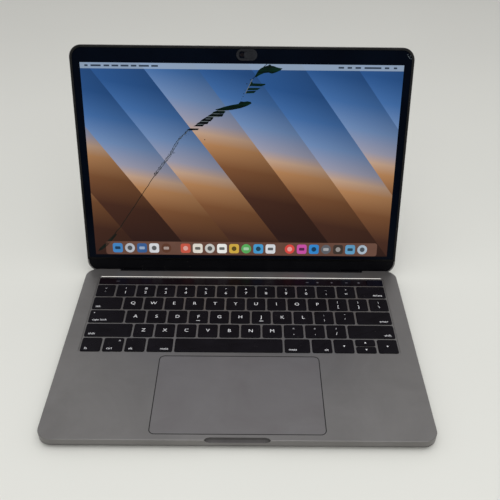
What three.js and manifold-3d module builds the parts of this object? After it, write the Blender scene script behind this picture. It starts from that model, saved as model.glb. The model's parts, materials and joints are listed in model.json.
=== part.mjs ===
// A thin aluminium notebook computer, open on a table, with a cracked display.
// Millimetres. X runs to the right, Y from the front edge to the back, Z up.
import * as THREE from 'three';
import { mergeVertices } from 'three/addons/utils/BufferGeometryUtils.js';
import Module from 'manifold-3d';

// Whole body
const width = 304.1;
const depth = 211.4;
const cornerRadius = 11;
const cornerSteps = 8;
const footHeight = 0.8;
const baseHeight = 10;
const deckZ = footHeight + baseHeight;
const halfWidth = width / 2;

// How far a cutter runs past the face it opens, and how far joined pieces run into each other
const past = 1;
const bite = 0.2;

// Base shells
const splitZ = 4.4;
const seamGap = 0.1;
const sideWall = 2.2;
const frontWall = 5;
const rearWall = 2;
const deckThickness = 1.5;
const deckUnder = deckZ - deckThickness;
const edgeChamfer = 0.35;
const coverWall = 1;
const coverCurve = { inset: 9, height: 3.2, steps: 3 };
const coverFloor = footHeight + coverWall;
const foot = { radius: 6, chamfer: 0.6, chamferTop: 0.45, sides: 20 };
const screw = { bore: 0.9, boreTop: 8, shaftRadius: 0.7, shaftTop: 7, sides: 10 };
const screwHead = { radius: 1.5, depth: 0.45, sunk: 0.05, clearance: 0.2, sides: 14 };
const boss = { radius: 2.2, gap: 0.2, sides: 10 };

// Hinge, measured from the base's rear edge and from the deck
const hinge = { inset: 1, drop: 2.1, barrelRadius: 1.9, halfLength: 119 };
const hingeY = depth - hinge.inset;
const hingeZ = deckZ - hinge.drop;
const recess = { depth: 3.2, clearance: 0.6, floorZ: hingeZ - hinge.barrelRadius - 0.4 };
const pinRadius = 0.6;
const knuckle = { inner: 99, outer: 117, radius: 1.45, bore: 0.85 };
const openAngle = THREE.MathUtils.degToRad(106.2);

// Keyboard
const keyUnit = 19.05;
const rowPitch = 18.6;
const rowUnits = 14.5;
const keyField = { front: 93.7, rows: 5 };
const keyWeb = 1.6;
const keyClearance = 0.3;
const keyCorner = 1.5;
const capCorner = 1.3;
const wellDepth = 0.5;
const wellMargin = 1.2;
const wellCorner = 2;
const wellChamfer = 0.8;
const keyTop = deckZ + 0.2;
const capHeight = 1.9;
const plate = { bottom: 7.6, top: 8.4, rim: 3, rimWall: 2.4, frontRim: 2, rearRim: 1.5, endWall: 1.4 };
const strip = {
  depth: 10.5, gap: 0.35, top: deckZ - 0.35, corner: 0.8, powerWidth: 15.5, powerHeight: 1.5,
};

// Trackpad and the scoop for opening the lid
const trackpad = {
  halfWidth: 67.2, front: 5.9, depth: 83.3, corner: 4, cornerSteps: 4, gap: 0.4, thickness: 0.8, sunk: 0.1,
};
const scoop = { width: 47, radius: 5, ahead: 2.2, above: 1.2, capSteps: 3, sides: 20 };

// Lid, in the lid's own frame: its origin is on the hinge axis and it lies shut
const lidGap = 0.9;
const lidThickness = 4;
const lidRim = 1.2;
const lidBackWall = 1;
const lidBevel = { inset: 1.2, height: 1.2, steps: 3 };
const faceZ = lidGap + hinge.drop;
const backZ = faceZ + lidThickness;
const lidRear = hinge.inset;
const lidTop = lidRear - depth;
const glass = { thickness: 0.8, inset: 2.3, bottom: -11.5, lowCorner: 0.5 };
const gasket = { inset: 1.35, width: 0.75, proud: 0.55, root: 1 };
const active = { width: 286.5, height: 179.1, bottom: 16.6 };
const panel = { border: 2, gap: 0.15, thickness: 1.75 };
const webcam = { y: -203.2, coverX: 4.1, coverWidth: 18.4, coverHeight: 9.6, coverThickness: 0.75 };
const shutterTravel = 5.4;

// The crack in the display, across and up from the hinge axis
const crackPath = [
  [-140.9, 20.2], [-118, 43.9], [-95.2, 76.3], [-74.5, 105.1], [-61.3, 124.2], [-48.6, 137.7],
  [-20.4, 156.6], [-3.1, 161.3], [4.9, 176.7], [12, 185.5], [24, 196.2],
];
const crackWidth = 0.45;

const finishes = {
  aluminium: { color: 0x6c6968, roughness: 0.42, metalness: 0.9 },
  keyPlastic: { color: 0x111116, roughness: 0.55, metalness: 0 },
  blackPlastic: { color: 0x161618, roughness: 0.45, metalness: 0 },
  glass: { color: 0x0b0c10, roughness: 0.06, metalness: 0 },
  screen: { color: 0x4f6f9a, roughness: 0.3, metalness: 0 },
  trackpadGlass: { color: 0x6a6768, roughness: 0.4, metalness: 0.2 },
  rubber: { color: 0x1c1c1d, roughness: 0.85, metalness: 0 },
  steel: { color: 0x9a9b9d, roughness: 0.35, metalness: 1 },
  copper: { color: 0xb06c44, roughness: 0.35, metalness: 1 },
  board: { color: 0x14201c, roughness: 0.6, metalness: 0 },
  battery: { color: 0x202124, roughness: 0.7, metalness: 0 },
};

const wasm = await Module();
wasm.setup();

function solidFrom(geometry) {
  const bare = geometry.clone();
  bare.deleteAttribute('normal');
  bare.deleteAttribute('uv');
  const merged = mergeVertices(bare, 1e-4);
  return new wasm.Manifold(new wasm.Mesh({
    numProp: 3,
    vertProperties: new Float32Array(merged.getAttribute('position').array),
    triVerts: new Uint32Array(merged.index.array),
  }));
}

function geometryFrom(solid) {
  const { vertProperties, triVerts } = solid.getMesh();
  const geometry = new THREE.BufferGeometry();
  geometry.setAttribute('position', new THREE.Float32BufferAttribute(vertProperties, 3));
  geometry.setIndex(Array.from(triVerts));
  geometry.computeVertexNormals();
  return geometry;
}

function piece(name, finish, solid) {
  const mesh = new THREE.Mesh(geometryFrom(solid), new THREE.MeshStandardMaterial(finishes[finish]));
  mesh.name = name;
  return mesh;
}

function place(mesh, x, y, z = 0) {
  mesh.position.set(x, y, z);
  return mesh;
}

function block([x0, x1], [y0, y1], [z0, z1]) {
  const box = new THREE.BoxGeometry(x1 - x0, y1 - y0, z1 - z0);
  return solidFrom(box.translate((x0 + x1) / 2, (y0 + y1) / 2, (z0 + z1) / 2));
}

// A rectangle with its own corner radius at the low-y end and at the high-y end
function roundedRect([x0, x1], [y0, y1], lowRadius, highRadius = lowRadius) {
  const quarter = Math.PI / 2;
  const shape = new THREE.Shape();
  shape.moveTo(x0 + lowRadius, y0);
  shape.absarc(x1 - lowRadius, y0 + lowRadius, lowRadius, -quarter, 0);
  shape.absarc(x1 - highRadius, y1 - highRadius, highRadius, 0, quarter);
  shape.absarc(x0 + highRadius, y1 - highRadius, highRadius, quarter, 2 * quarter);
  shape.absarc(x0 + lowRadius, y0 + lowRadius, lowRadius, 2 * quarter, 3 * quarter);
  return shape;
}

function extrude(shape, [z0, z1], curveSegments = 2) {
  const geometry = new THREE.ExtrudeGeometry(shape, { depth: z1 - z0, bevelEnabled: false, curveSegments });
  return solidFrom(geometry.translate(0, 0, z0));
}

// An extrusion whose two ends are drawn in by a rounded bevel; the outline is the full one
function extrudeRounded(outline, [z0, z1], bevel, curveSegments) {
  const geometry = new THREE.ExtrudeGeometry(outline(bevel.inset), {
    depth: z1 - z0 - 2 * bevel.height,
    bevelThickness: bevel.height,
    bevelSize: bevel.inset,
    bevelSegments: bevel.steps,
    curveSegments,
  });
  return solidFrom(geometry.translate(0, 0, z0 + bevel.height));
}

// A section drawn in Y and Z, run along X
function extrudeAlongX(shape, [x0, x1], curveSegments = 2) {
  const geometry = new THREE.ExtrudeGeometry(shape, { depth: x1 - x0, bevelEnabled: false, curveSegments });
  const turn = new THREE.Matrix4().makeBasis(
    new THREE.Vector3(0, 1, 0),
    new THREE.Vector3(0, 0, 1),
    new THREE.Vector3(1, 0, 0),
  );
  return solidFrom(geometry.applyMatrix4(turn).translate(x0, 0, 0));
}

function rod([x0, x1], y, z, radius, sides = 16) {
  const geometry = new THREE.CylinderGeometry(radius, radius, x1 - x0, sides);
  return solidFrom(geometry.rotateZ(Math.PI / 2).translate((x0 + x1) / 2, y, z));
}

function post(x, y, [z0, z1], radius, sides = 16) {
  const geometry = new THREE.CylinderGeometry(radius, radius, z1 - z0, sides);
  return solidFrom(geometry.rotateX(Math.PI / 2).translate(x, y, (z0 + z1) / 2));
}

function turned(profile, sides) {
  const points = profile.map(([radius, z]) => new THREE.Vector2(radius, z));
  return solidFrom(new THREE.LatheGeometry(points, sides).rotateX(Math.PI / 2));
}

const join = (solids) => solids.reduce((whole, next) => whole.add(next));
const cut = (solid, cutters) => cutters.reduce((rest, next) => rest.subtract(next), solid);
const inward = (span, amount) => [span[0] + amount, span[1] - amount];
const mirrored = (side, span) => (side > 0 ? span : [-span[1], -span[0]]);
const sides = [{ label: 'left', sign: -1 }, { label: 'right', sign: 1 }];

// Key openings, row by row from the front; a key with no name is one of the like square keys
const named = (name, units) => ({ name, units });
const square = (count) => Array.from({ length: count }, () => ({ units: 1 }));
const keyRows = [
  [
    named('key_fn', 1), named('key_ctrl', 1), named('key_alt_left', 1), named('key_meta_left', 1.25),
    named('key_space', 5), named('key_meta_right', 1.25), named('key_alt_right', 1),
    named('key_arrow_left', 1), { halves: ['key_arrow_down', 'key_arrow_up'], units: 1 },
    named('key_arrow_right', 1),
  ],
  [named('key_shift_left', 2.25), ...square(10), named('key_shift_right', 2.25)],
  [named('key_caps_lock', 1.75), ...square(11), named('key_enter', 1.75)],
  [named('key_tab', 1.5), ...square(13)],
  [...square(13), named('key_delete', 1.5)],
];
const fieldHalfWidth = (rowUnits * keyUnit) / 2;
const stripFront = keyField.front + keyField.rows * rowPitch;
const stripRear = stripFront + strip.depth;
const wellRear = stripRear + wellMargin;

function keyOpenings() {
  const openings = [];
  keyRows.forEach((row, rowIndex) => {
    const cellY = [keyField.front + rowIndex * rowPitch, keyField.front + (rowIndex + 1) * rowPitch];
    let left = -fieldHalfWidth;
    for (const key of row) {
      const x = inward([left, left + key.units * keyUnit], keyWeb / 2);
      const y = inward(cellY, keyWeb / 2);
      if (key.halves) {
        const middle = (y[0] + y[1]) / 2;
        openings.push({ name: key.halves[0], x, y: [y[0], middle - keyClearance] });
        openings.push({ name: key.halves[1], x, y: [middle + keyClearance, y[1]] });
      } else {
        openings.push({ name: key.name, x, y });
      }
      left += key.units * keyUnit;
    }
  });
  return openings;
}

const keys = keyOpenings();
const capShape = (key) => roundedRect(
  inward(key.x, keyClearance),
  inward(key.y, keyClearance),
  capCorner,
);
const stripX = [-fieldHalfWidth + keyWeb / 2, fieldHalfWidth - keyWeb / 2];
const stripY = [stripFront + keyWeb / 2, stripRear];
const powerX = [stripX[1] - strip.powerWidth, stripX[1]];

// Sockets in the side walls
const socketZ = 7;
const socketGap = 0.2;
const usb = { width: 9, height: 3.2, places: [168.5, 184.5] };
const usbBlock = { depth: 7.5, beyond: 6.5, halfHeight: 2, backWall: 1.5 };
const usbMouth = { halfWidth: 4.2, halfHeight: 1.3 };
const usbTongue = { halfWidth: 3.3, halfHeight: 0.35, root: 1, short: 1.2 };
const audio = { y: 153, radius: 1.75, depth: 8, halfWidth: 3, z: [4.7, 9.2], backWall: 1 };
const screwPlaces = [[-137, 16], [137, 16], [-137, 201.5], [137, 201.5], [-45, 201.5], [45, 201.5]];

const baseOutline = (inset) => roundedRect(
  inward([-halfWidth, halfWidth], inset),
  inward([0, depth], inset),
  cornerRadius - inset,
);

function topCase() {
  const bevel = { inset: edgeChamfer, height: edgeChamfer, steps: 1 };
  const outer = extrudeRounded(baseOutline, [splitZ, deckZ], bevel, cornerSteps);
  const cavity = extrude(
    roundedRect(
      inward([-halfWidth, halfWidth], sideWall),
      [frontWall, depth - recess.depth - rearWall],
      cornerRadius - sideWall,
    ),
    [splitZ - past, deckUnder],
    cornerSteps,
  );
  const bossZ = [coverFloor + boss.gap, deckUnder + bite];
  const bosses = screwPlaces.map(([x, y]) => post(x, y, bossZ, boss.radius, boss.sides));
  const well = extrude(
    roundedRect(
      inward([-fieldHalfWidth, fieldHalfWidth], keyWeb / 2 - wellMargin),
      [keyField.front + keyWeb / 2 - wellMargin, wellRear],
      wellCorner,
    ),
    [deckZ - wellDepth, deckZ + past],
  );
  const wellEdge = extrudeAlongX(
    new THREE.Shape([
      new THREE.Vector2(wellRear, deckZ - wellDepth),
      new THREE.Vector2(wellRear + 2 * wellChamfer, deckZ + wellDepth),
      new THREE.Vector2(wellRear, deckZ + wellDepth),
    ]),
    inward([-fieldHalfWidth, fieldHalfWidth], wellCorner - wellMargin),
  );
  const through = [deckUnder - past, deckZ + past];
  const keyHoles = keys.map((key) => extrude(roundedRect(key.x, key.y, keyCorner), through, 1));
  const stripHole = extrude(roundedRect(stripX, stripY, strip.corner + strip.gap), through, 1);
  const padHole = extrude(
    roundedRect(
      inward([-trackpad.halfWidth, trackpad.halfWidth], -trackpad.gap),
      inward([trackpad.front, trackpad.front + trackpad.depth], -trackpad.gap),
      trackpad.corner + trackpad.gap,
    ),
    through,
    trackpad.cornerSteps,
  );
  const recessX = hinge.halfLength + recess.clearance;
  const hingeRecess = block(
    [-recessX, recessX],
    [depth - recess.depth, depth + past],
    [recess.floorZ, deckZ + past],
  );
  const thumbScoop = solidFrom(
    new THREE.CapsuleGeometry(scoop.radius, scoop.width - scoop.radius, scoop.capSteps, scoop.sides)
      .rotateZ(Math.PI / 2)
      .translate(0, -scoop.ahead, deckZ + scoop.above),
  );
  return cut(cut(outer, [cavity]).add(join(bosses)), [
    ...screwPlaces.map(([x, y]) => post(x, y, [0, screw.boreTop], screw.bore, screw.sides)),
    well, wellEdge, ...keyHoles, stripHole, padHole, hingeRecess, thumbScoop,
    ...sides.flatMap(({ sign }) => [...wallSockets(sign), bracketSlot(sign), ...vents(sign)]),
  ]);
}

function wallSockets(sign) {
  const wallX = mirrored(sign, [halfWidth - sideWall - past, halfWidth + past]);
  const holes = usb.places.map((y) => extrudeAlongX(
    roundedRect([y - usb.width / 2, y + usb.width / 2],
      [socketZ - usb.height / 2, socketZ + usb.height / 2], usb.height / 2),
    wallX,
  ));
  return sign > 0 ? [...holes, rod(wallX, audio.y, socketZ, audio.radius)] : holes;
}

// Room for the bracket that carries the hinge pin from the cavity to the end of the recess
const bracketArm = {
  x: [121.2, 124.6], z: [7.7, 9.2], end: hingeY + pinRadius - 0.1, gap: 0.3, endGap: 0.25,
};
const bracketPlate = { x: [112, 133.5], y: [188, 205], z: [6.2, 7.3], upright: 3 };
const pin = { sides: 12, short: 1 };

function bracketSlot(sign) {
  return block(
    mirrored(sign, [hinge.halfLength, bracketArm.x[1] + bracketArm.gap]),
    [depth - recess.depth - rearWall - past, bracketArm.end + bracketArm.endGap],
    inward(bracketArm.z, -bracketArm.gap),
  );
}

// Exhaust slots in the rear wall, hidden behind the hinge barrel
const vent = { count: 8, first: 50, pitch: 7.5, width: 5, z: [6.8, 8.6] };

function vents(sign) {
  return Array.from({ length: vent.count }, (_, index) => {
    const left = vent.first + index * vent.pitch;
    const rear = depth - recess.depth;
    return block(mirrored(sign, [left, left + vent.width]), [rear - rearWall - past, rear + past], vent.z);
  });
}

const screwSeat = footHeight + screwHead.depth;

function bottomCover() {
  const top = splitZ - seamGap;
  const bowl = (inset, floor) => extrudeRounded(
    (bevelInset) => baseOutline(inset + bevelInset),
    [floor, floor + 4 * coverCurve.height],
    coverCurve,
    cornerSteps,
  );
  const above = block(
    inward([-halfWidth, halfWidth], -past),
    inward([0, depth], -past),
    [top, coverFloor + 4 * coverCurve.height + past],
  );
  const tray = cut(bowl(0, footHeight), [bowl(coverWall, coverFloor), above]);
  return cut(tray, screwPlaces.flatMap(([x, y]) => [
    post(x, y, [0, splitZ + past], screw.bore, screw.sides),
    post(x, y, [0, screwSeat + screwHead.sunk], screwHead.radius + screwHead.clearance, screwHead.sides),
  ]));
}

function coverScrew() {
  const head = footHeight + screwHead.sunk;
  return turned([
    [0, head],
    [screwHead.radius, head],
    [screwHead.radius, screwSeat],
    [screw.shaftRadius, screwSeat],
    [screw.shaftRadius, screw.shaftTop],
    [0, screw.shaftTop],
  ], screw.sides);
}

const footPlaces = {
  front_left: [-124, 26], front_right: [124, 26], rear_left: [-124, 184], rear_right: [124, 184],
};

function rubberFoot() {
  return turned([
    [0, 0],
    [foot.radius - foot.chamfer, 0],
    [foot.radius, foot.chamferTop],
    [foot.radius, footHeight],
    [0, footHeight],
  ], foot.sides);
}

function keyboard() {
  const x = inward([-fieldHalfWidth, fieldHalfWidth], -plate.rim);
  const y = [keyField.front - plate.frontRim, stripRear + plate.rearRim];
  const rim = cut(block(x, y, [plate.top - bite, deckUnder]), [
    block(inward(x, plate.rimWall), inward(y, plate.endWall), [plate.top - past, deckUnder + past]),
  ]);
  const caps = keys.filter((key) => !key.name)
    .map((key) => extrude(capShape(key), [plate.top - bite, keyTop], 1));
  return join([block(x, y, [plate.bottom, plate.top]), rim, ...caps]);
}

const keyCap = (key) => extrude(capShape(key), [keyTop - capHeight, keyTop], 1);

function touchStrip() {
  const x = [stripX[0] + strip.gap, powerX[0] - strip.gap];
  return extrude(roundedRect(x, inward(stripY, strip.gap), strip.corner), [plate.top, strip.top], 1);
}

function powerButton() {
  const shape = roundedRect(inward(powerX, strip.gap), inward(stripY, strip.gap), strip.corner);
  return extrude(shape, [strip.top - strip.powerHeight, strip.top], 1);
}

function trackpadGlass() {
  const shape = roundedRect(
    [-trackpad.halfWidth, trackpad.halfWidth],
    [trackpad.front, trackpad.front + trackpad.depth],
    trackpad.corner,
  );
  const top = deckZ - trackpad.sunk;
  return extrude(shape, [top - trackpad.thickness, top], trackpad.cornerSteps);
}

// The force sensor and its tapping coil hang from the deck on four ears
const sensor = { x: [-62, 62], y: [12, 84], bottom: 8, gap: 0.1 };
const sensorEars = { x: [-73, 73], top: 9.2, places: [[20, 30], [66, 76]] };

function trackpadModule() {
  const top = deckZ - trackpad.sunk - trackpad.thickness - sensor.gap;
  const body = block(sensor.x, sensor.y, [sensor.bottom, top]);
  const ears = sensorEars.places.map((y) => block(sensorEars.x, y, [sensor.bottom, sensorEars.top]));
  return join([body, ...ears]);
}

const cell = { z: [2.3, 7.2], corner: 3 };
const sideCells = { x: [70, 146], y: [22, 91] };
const middleCell = { x: [-65, 65], y: [9, 91] };
const batteryCell = (x, y) => extrude(roundedRect(x, y, cell.corner), cell.z);

// The chips hang under the board, the processor in the middle over the heat spreader
const board = { z: [4, 5], wideX: [-107, 107], wideY: [103, 150], rearX: [-70, 70], rearY: [149, 190] };
const processor = { x: [-15, 15], y: [150, 174], bottom: 3.3 };
const chips = {
  bottom: 3.1,
  places: [
    [[-48, -34], [120, 132]],
    [[34, 48], [120, 132]],
    [[-96, -84], [112, 130]],
    [[60, 78], [112, 126]],
  ],
};

function logicBoard() {
  const chipTop = board.z[0] + bite;
  return join([
    block(board.wideX, board.wideY, board.z),
    block(board.rearX, board.rearY, board.z),
    block(processor.x, processor.y, [processor.bottom, chipTop]),
    ...chips.places.map(([x, y]) => block(x, y, [chips.bottom, chipTop])),
  ]);
}

const fan = { x: 92, y: 171, radius: 18.5, wall: 1, bottom: 2.4, floor: 3.2, top: 6, sides: 28 };
const fanOutlet = { x: [-14, 14], front: 8 };
const fanSpindle = { radius: 2, z: [2.8, 3.8], sides: 12 };
const rotor = { z: [4.1, 5.8], hubRadius: 7.5, hubSides: 20, blades: 13 };
const fanBlade = { length: 10.5, thickness: 0.6, lower: 0.4, sweep: 0.5, out: 11, aside: 2.2 };

function fanHousing() {
  const { radius, wall, bottom, floor, top } = fan;
  const bowl = turned([
    [0, bottom],
    [radius, bottom],
    [radius, top],
    [radius - wall, top],
    [radius - wall, floor],
    [0, floor],
  ], fan.sides);
  const outlet = block(fanOutlet.x, [fanOutlet.front, radius + past], [floor, top + past]);
  return cut(bowl, [outlet]).add(post(0, 0, fanSpindle.z, fanSpindle.radius, fanSpindle.sides));
}

function fanRotor() {
  const [low, high] = rotor.z;
  const blades = Array.from({ length: rotor.blades }, (_, index) => {
    const blade = new THREE.BoxGeometry(fanBlade.length, fanBlade.thickness, high - low - fanBlade.lower);
    blade.rotateZ(fanBlade.sweep).translate(fanBlade.out, fanBlade.aside, (low + high) / 2);
    return solidFrom(blade.rotateZ((index / rotor.blades) * 2 * Math.PI));
  });
  return join([post(0, 0, rotor.z, rotor.hubRadius, rotor.hubSides), ...blades]);
}

// A copper spreader under the processor and a heat pipe to a comb of fins behind each fan
const spreader = { x: [-18, 18], y: [148, 180], z: [2.4, 3.1] };
const stem = { x: [-5, 5], y: [176, 194], z: [2.4, 3.1] };
const pipe = { x: [-110, 110], y: [191.5, 197], z: [2.4, 3.4] };
const fins = { count: 8, first: 76, pitch: 4.2, width: 0.8, y: [191.5, 204], z: [2.4, 6] };

function heatSink() {
  const combs = sides.flatMap(({ sign }) => Array.from({ length: fins.count }, (_, index) => {
    const left = fins.first + index * fins.pitch;
    return block(mirrored(sign, [left, left + fins.width]), fins.y, fins.z);
  }));
  return join([...[spreader, stem, pipe].map(({ x, y, z }) => block(x, y, z)), ...combs]);
}

const speakerBox = { x: 129, y: 124, spanX: [-17, 17], spanY: [-24, 24], z: [2.4, 7.2], corner: 4 };
const speakerCone = { y: 8, floor: 6.2, radius: 11, sides: 20 };

function speaker() {
  const shell = extrude(roundedRect(speakerBox.spanX, speakerBox.spanY, speakerBox.corner), speakerBox.z);
  const coneZ = [speakerCone.floor, speakerBox.z[1] + past];
  return cut(shell, [post(0, speakerCone.y, coneZ, speakerCone.radius, speakerCone.sides)]);
}

const around = (middle, half) => [middle - half, middle + half];
const socketFace = halfWidth - sideWall - socketGap;

function usbPair(sign) {
  const back = socketFace - usbBlock.depth;
  const [first, last] = usb.places;
  const body = block(
    mirrored(sign, [back, socketFace]),
    [first - usbBlock.beyond, last + usbBlock.beyond],
    around(socketZ, usbBlock.halfHeight),
  );
  const mouths = usb.places.map((y) => extrudeAlongX(
    roundedRect(around(y, usbMouth.halfWidth), around(socketZ, usbMouth.halfHeight), usbMouth.halfHeight),
    mirrored(sign, [back + usbBlock.backWall, socketFace + past]),
  ));
  const tongues = usb.places.map((y) => block(
    mirrored(sign, [back + usbTongue.root, socketFace - usbTongue.short]),
    around(y, usbTongue.halfWidth),
    around(socketZ, usbTongue.halfHeight),
  ));
  return cut(body, mouths).add(join(tongues));
}

function audioJack() {
  const back = socketFace - audio.depth;
  const body = block([back, socketFace], around(audio.y, audio.halfWidth), audio.z);
  return cut(body, [rod([back + audio.backWall, socketFace + past], audio.y, socketZ, audio.radius)]);
}

function hingeBracket(sign) {
  const arm = mirrored(sign, bracketArm.x);
  return join([
    block(mirrored(sign, bracketPlate.x), bracketPlate.y, bracketPlate.z),
    block(
      arm,
      [bracketPlate.y[1] - bracketPlate.upright, bracketPlate.y[1]],
      [bracketPlate.z[0], bracketArm.z[1]],
    ),
    block(arm, [bracketPlate.y[1] - bite, bracketArm.end], bracketArm.z),
    rod(
      mirrored(sign, [knuckle.inner + pin.short, bracketArm.x[1] - pin.short]),
      hingeY,
      hingeZ,
      pinRadius,
      pin.sides,
    ),
  ]);
}

const lidOutline = (inset) => roundedRect(
  inward([-halfWidth, halfWidth], inset),
  inward([lidTop, lidRear], inset),
  cornerRadius - inset,
);

function lidShell() {
  const low = faceZ - lidThickness;
  const outer = extrudeRounded(lidOutline, [low, backZ], lidBevel, cornerSteps);
  const below = block(
    inward([-halfWidth, halfWidth], -past),
    inward([lidTop, lidRear], -past),
    [low - past, faceZ],
  );
  const tray = extrude(lidOutline(lidRim), [faceZ - past, backZ - lidBackWall], cornerSteps);
  return cut(outer, [below, tray]);
}

function displayGlass() {
  const shape = roundedRect(
    inward([-halfWidth, halfWidth], glass.inset),
    [lidTop + glass.inset, glass.bottom],
    cornerRadius - glass.inset,
    glass.lowCorner,
  );
  const bars = crackPath.slice(1).map(([x1, u1], index) => {
    const [x0, u0] = crackPath[index];
    const side = crackWidth / Math.SQRT2;
    const bar = new THREE.BoxGeometry(Math.hypot(x1 - x0, u1 - u0) + crackWidth, side, side);
    bar.rotateX(Math.PI / 4).rotateZ(Math.atan2(u0 - u1, x1 - x0));
    return solidFrom(bar.translate((x0 + x1) / 2, -(u0 + u1) / 2, faceZ));
  });
  return cut(extrude(shape, [faceZ, faceZ + glass.thickness], cornerSteps), [join(bars)]);
}

// The seal stands proud of the glass on three sides and ends at the hinge cover
function lidGasket() {
  const span = [faceZ - gasket.proud, faceZ + gasket.root];
  const through = inward(span, -past);
  return cut(extrude(lidOutline(gasket.inset), span, cornerSteps), [
    extrude(lidOutline(gasket.inset + gasket.width), through, cornerSteps),
    block([-halfWidth, halfWidth], [glass.bottom, lidRear + past], through),
  ]);
}

function displayPanel() {
  const front = faceZ + glass.thickness + panel.gap;
  const halfPanel = active.width / 2 + panel.border;
  const bottom = -active.bottom + panel.border;
  const top = -active.bottom - active.height - panel.border;
  return block([-halfPanel, halfPanel], [top, bottom], [front, front + panel.thickness]);
}

const camera = { halfWidth: 22, halfHeight: 4, gap: 0.1, set: 0.3, thickness: 1.6 };
const cameraLens = { radius: 1.6, length: 1, sides: 12 };

function cameraModule() {
  const front = faceZ + glass.thickness + camera.gap;
  const boardFront = front + camera.set;
  const body = block(
    [-camera.halfWidth, camera.halfWidth],
    around(webcam.y, camera.halfHeight),
    [boardFront, boardFront + camera.thickness],
  );
  const lensZ = [front, front + cameraLens.length];
  return body.add(post(0, webcam.y, lensZ, cameraLens.radius, cameraLens.sides));
}

const coverGap = 0.15;
const coverPlate = {
  top: glass.bottom + bite,
  rear: lidRear - lidRim - coverGap,
  thickness: 1.2,
  topCorner: 0.3,
  cornerSteps: 3,
};
const neck = { y: [-1.9, coverPlate.rear], slotX: [knuckle.inner - 0.8, knuckle.outer + 0.6], skin: 0.3 };
const barrelSides = 20;

function hingeCover() {
  const inset = lidRim + coverGap;
  const strap = extrude(
    roundedRect(
      inward([-halfWidth, halfWidth], inset),
      [coverPlate.top, coverPlate.rear],
      coverPlate.topCorner,
      cornerRadius - inset,
    ),
    [faceZ, faceZ + coverPlate.thickness],
    coverPlate.cornerSteps,
  );
  const barrelX = [-hinge.halfLength, hinge.halfLength];
  const barrel = rod(barrelX, 0, 0, hinge.barrelRadius, barrelSides);
  const web = block(barrelX, neck.y, [0, faceZ + bite]);
  const hollowX = [neck.slotX[0], hinge.halfLength + past];
  const hollows = sides.flatMap(({ sign }) => [
    rod(mirrored(sign, hollowX), 0, 0, hinge.barrelRadius - neck.skin, barrelSides),
    block(mirrored(sign, neck.slotX), inward(neck.y, -bite), [0, faceZ + coverPlate.thickness + past]),
  ]);
  return cut(join([strap, barrel, web]), hollows);
}

const armPlate = { y: [-13.5, -0.6], gap: 0.2, thickness: 1.4, stemY: [-1.5, -0.6] };

function hingeArm(sign) {
  const x = mirrored(sign, [knuckle.inner, knuckle.outer]);
  const plateZ = faceZ + coverPlate.thickness + armPlate.gap;
  const arm = join([
    block(x, armPlate.y, [plateZ, plateZ + armPlate.thickness]),
    block(x, armPlate.stemY, [0, plateZ + bite]),
    rod(x, 0, 0, knuckle.radius),
  ]);
  return cut(arm, [rod(inward(x, -past), 0, 0, knuckle.bore)]);
}

// A stick-on cover over the camera: an oval frame with a window, and a shutter that slides in its groove
const endRound = 0.01;
const stadium = (x, y, w, h) => roundedRect(around(x, w / 2), around(y, h / 2), h / 2 - endRound);
const coverBack = faceZ - 0.05;
const coverFront = coverBack - webcam.coverThickness;
const coverSteps = 4;
const groove = { width: 16.2, height: 7.8, floor: coverBack - 0.22, lip: coverBack - 0.58, lipWidth: 0.7 };
const cameraWindow = { halfWidth: 2.5, halfHeight: 2.8, corner: 1.6 };
const shutter = { endGap: 0.15, play: 0.3, clearance: 0.04, step: 0.1 };

function webcamCover() {
  const { coverX, y, coverWidth, coverHeight } = webcam;
  const { width: runX, height: runY, lipWidth } = groove;
  const frame = extrude(stadium(coverX, y, coverWidth, coverHeight), [coverFront, coverBack], coverSteps);
  const opening = stadium(coverX, y, runX - 2 * lipWidth, runY - 2 * lipWidth);
  const window = roundedRect(
    [-cameraWindow.halfWidth, cameraWindow.halfWidth],
    around(y, cameraWindow.halfHeight),
    cameraWindow.corner,
  );
  return cut(frame, [
    extrude(stadium(coverX, y, runX, runY), [groove.lip, groove.floor], coverSteps),
    extrude(opening, [coverFront - past, groove.floor], coverSteps),
    extrude(window, [coverFront - past, coverBack + past]),
  ]);
}

function webcamShutter() {
  const { lipWidth } = groove;
  const shoe = { width: groove.width - shutterTravel - shutter.play, height: groove.height - shutter.play };
  const x = webcam.coverX + groove.width / 2 - shutter.endGap - shoe.width / 2;
  const y = webcam.y;
  const slider = stadium(x, y, shoe.width, shoe.height);
  const thumbRest = stadium(x, y, shoe.width - 2 * lipWidth, shoe.height - 2 * lipWidth);
  return join([
    extrude(slider, [groove.lip + shutter.clearance, groove.floor - shutter.clearance], coverSteps),
    extrude(thumbRest, [coverFront, groove.floor - shutter.step], coverSteps),
  ]);
}

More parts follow.
